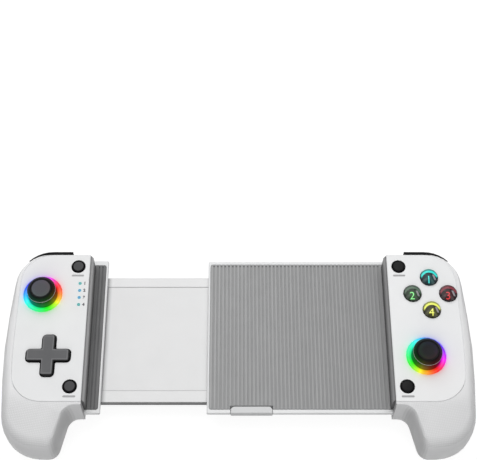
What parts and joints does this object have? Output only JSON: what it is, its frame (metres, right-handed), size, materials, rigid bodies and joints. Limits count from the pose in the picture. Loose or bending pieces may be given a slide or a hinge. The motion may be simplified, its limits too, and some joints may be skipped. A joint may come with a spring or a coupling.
{
  "type": "telescopic gamepad",
  "caption": "Telescopic phone gamepad: handles on a sliding ribbed tray and bridge, with tilting thumb sticks in light rings, direction pad, push buttons, bumpers, triggers and release tab.",
  "frame": {"origin": "centre of the footprint, on the plane the back rests on", "axes": "+X from the left handle to the right, +Y towards the bumpers, +Z out of the face"},
  "size_m": [0.2616, 0.1193, 0.0385],
  "materials": {
    "grip_shell": "fine textured",
    "face_plate": "satin",
    "white_plastic": "satin",
    "tab_plastic": "satin",
    "board": "solder mask",
    "steel": "plain",
    "dark_rubber": "matte",
    "grey_rubber": "matte ribbed",
    "black_plastic": "gloss",
    "mechanism_plastic": "moulded",
    "stick_rubber": "matte",
    "clear_plastic": "translucent",
    "smoke_plastic": "smoked translucent",
    "button_plastic": "fine textured",
    "silicone": "matte",
    "foil": "foil wrap",
    "ribbon": "film"
  },
  "bodies": {
    "right_half": {"right_rear_shell": "grip_shell", "right_front_cover": "face_plate", "right_circuit_board": "board", "right_screws": "steel", "right_wall_pad": "dark_rubber", "right_trigger_pin": "steel", "right_trigger_spring": "steel", "right_stick_base": "mechanism_plastic", "right_light_ring": "clear_plastic", "right_button_domes": "silicone", "battery": "foil", "usb_socket": "steel", "tray_bottom": "white_plastic", "tray_top": "white_plastic", "tray_pad": "grey_rubber", "return_spring": "steel", "tray_ribbon": "ribbon", "release_spring": "steel"},
    "left_half": {"left_rear_shell": "grip_shell", "left_front_cover": "face_plate", "left_circuit_board": "board", "left_screws": "steel", "left_wall_pad": "dark_rubber", "left_trigger_pin": "steel", "left_trigger_spring": "steel", "left_stick_base": "mechanism_plastic", "left_light_ring": "clear_plastic", "left_button_domes": "silicone", "indicator_lights": "clear_plastic", "d_pad_post": "mechanism_plastic", "left_ledge": "white_plastic", "left_ledge_pad": "dark_rubber", "bridge_plate": "white_plastic", "bridge_cover": "white_plastic", "bridge_ribbon": "ribbon"},
    "face_button_top": {"face_button_top": "smoke_plastic"},
    "face_button_right": {"face_button_right": "smoke_plastic"},
    "face_button_bottom": {"face_button_bottom": "smoke_plastic"},
    "face_button_left": {"face_button_left": "smoke_plastic"},
    "select_button": {"select_button": "button_plastic"},
    "turbo_button": {"turbo_button": "button_plastic"},
    "start_button": {"start_button": "button_plastic"},
    "home_button": {"home_button": "button_plastic"},
    "d_pad_pivot": {"d_pad_pivot": "mechanism_plastic"},
    "d_pad": {"d_pad": "button_plastic"},
    "left_stick_yoke": {"left_stick_yoke": "mechanism_plastic"},
    "left_stick_rocker": {"left_stick_rocker": "mechanism_plastic"},
    "left_stick_cap": {"left_stick_cap": "stick_rubber"},
    "left_bumper": {"left_bumper": "black_plastic"},
    "left_trigger": {"left_trigger": "black_plastic"},
    "right_stick_yoke": {"right_stick_yoke": "mechanism_plastic"},
    "right_stick_rocker": {"right_stick_rocker": "mechanism_plastic"},
    "right_stick_cap": {"right_stick_cap": "stick_rubber"},
    "right_bumper": {"right_bumper": "black_plastic"},
    "right_trigger": {"right_trigger": "black_plastic"},
    "release_tab": {"release_tab": "tab_plastic"}
  },
  "joints": [
    {"name": "bridge_slide", "type": "slide", "parent": "right_half", "child": "left_half", "axis": [1, 0, 0], "range_m": [0, 0.058]},
    {"name": "face_button_top_press", "type": "slide", "parent": "right_half", "child": "face_button_top", "axis": [0, 0, -1], "range_m": [0, 0.0012], "stiffness_N_per_m": 400, "deforming": ["right_button_domes"]},
    {"name": "face_button_right_press", "type": "slide", "parent": "right_half", "child": "face_button_right", "axis": [0, 0, -1], "range_m": [0, 0.0012], "stiffness_N_per_m": 400, "deforming": ["right_button_domes"]},
    {"name": "face_button_bottom_press", "type": "slide", "parent": "right_half", "child": "face_button_bottom", "axis": [0, 0, -1], "range_m": [0, 0.0012], "stiffness_N_per_m": 400, "deforming": ["right_button_domes"]},
    {"name": "face_button_left_press", "type": "slide", "parent": "right_half", "child": "face_button_left", "axis": [0, 0, -1], "range_m": [0, 0.0012], "stiffness_N_per_m": 400, "deforming": ["right_button_domes"]},
    {"name": "select_button_press", "type": "slide", "parent": "left_half", "child": "select_button", "axis": [0, 0, -1], "range_m": [0, 0.0007], "stiffness_N_per_m": 500, "deforming": ["left_button_domes"]},
    {"name": "turbo_button_press", "type": "slide", "parent": "left_half", "child": "turbo_button", "axis": [0, 0, -1], "range_m": [0, 0.0007], "stiffness_N_per_m": 500, "deforming": ["left_button_domes"]},
    {"name": "start_button_press", "type": "slide", "parent": "right_half", "child": "start_button", "axis": [0, 0, -1], "range_m": [0, 0.0007], "stiffness_N_per_m": 500, "deforming": ["right_button_domes"]},
    {"name": "home_button_press", "type": "slide", "parent": "right_half", "child": "home_button", "axis": [0, 0, -1], "range_m": [0, 0.0007], "stiffness_N_per_m": 500, "deforming": ["right_button_domes"]},
    {"name": "d_pad_tilt_y", "type": "hinge", "parent": "left_half", "child": "d_pad_pivot", "pos_m": [-0.1046, -0.0052, 0.027], "axis": [1, 0, 0], "range_deg": [-5, 5], "stiffness_Nm_per_rad": 0.056, "deforming": ["left_button_domes"]},
    {"name": "d_pad_tilt_x", "type": "hinge", "parent": "d_pad_pivot", "child": "d_pad", "pos_m": [-0.1046, -0.0052, 0.027], "axis": [0, 1, 0], "range_deg": [-5, 5], "stiffness_Nm_per_rad": 0.056, "deforming": ["left_button_domes"]},
    {"name": "left_stick_tilt_y", "type": "hinge", "parent": "left_half", "child": "left_stick_yoke", "pos_m": [-0.1106, 0.0321, 0.024], "axis": [1, 0, 0], "range_deg": [-16, 16], "stiffness_Nm_per_rad": 0.035},
    {"name": "left_stick_tilt_x", "type": "hinge", "parent": "left_stick_yoke", "child": "left_stick_rocker", "pos_m": [-0.1106, 0.0321, 0.024], "axis": [0, 1, 0], "range_deg": [-16, 16], "stiffness_Nm_per_rad": 0.035},
    {"name": "left_stick_click", "type": "slide", "parent": "left_stick_rocker", "child": "left_stick_cap", "axis": [0, 0, -1], "range_m": [0, 0.0005], "stiffness_N_per_m": 2000},
    {"name": "left_bumper_press", "type": "hinge", "parent": "left_half", "child": "left_bumper", "pos_m": [-0.099, 0.0554, 0.0236], "axis": [0, 0, 1], "range_deg": [0, 3], "stiffness_Nm_per_rad": 0.35},
    {"name": "left_trigger_pull", "type": "hinge", "parent": "left_half", "child": "left_trigger", "pos_m": [-0.107, 0.0518, 0.0146], "axis": [1, 0, 0], "range_deg": [-14, 0], "stiffness_Nm_per_rad": 0.05, "deforming": ["left_trigger_spring"]},
    {"name": "right_stick_tilt_y", "type": "hinge", "parent": "right_half", "child": "right_stick_yoke", "pos_m": [0.1032, -0.0054, 0.024], "axis": [1, 0, 0], "range_deg": [-16, 16], "stiffness_Nm_per_rad": 0.035},
    {"name": "right_stick_tilt_x", "type": "hinge", "parent": "right_stick_yoke", "child": "right_stick_rocker", "pos_m": [0.1032, -0.0054, 0.024], "axis": [0, 1, 0], "range_deg": [-16, 16], "stiffness_Nm_per_rad": 0.035},
    {"name": "right_stick_click", "type": "slide", "parent": "right_stick_rocker", "child": "right_stick_cap", "axis": [0, 0, -1], "range_m": [0, 0.0005], "stiffness_N_per_m": 2000},
    {"name": "right_bumper_press", "type": "hinge", "parent": "right_half", "child": "right_bumper", "pos_m": [0.099, 0.0554, 0.0236], "axis": [0, 0, 1], "range_deg": [-3, 0], "stiffness_Nm_per_rad": 0.35},
    {"name": "right_trigger_pull", "type": "hinge", "parent": "right_half", "child": "right_trigger", "pos_m": [0.107, 0.0518, 0.0146], "axis": [1, 0, 0], "range_deg": [-14, 0], "stiffness_Nm_per_rad": 0.05, "deforming": ["right_trigger_spring"]},
    {"name": "release_press", "type": "slide", "parent": "right_half", "child": "release_tab", "axis": [0, -1, 0], "range_m": [0, 0.0012], "stiffness_N_per_m": 600, "deforming": ["release_spring"]}
  ]
}
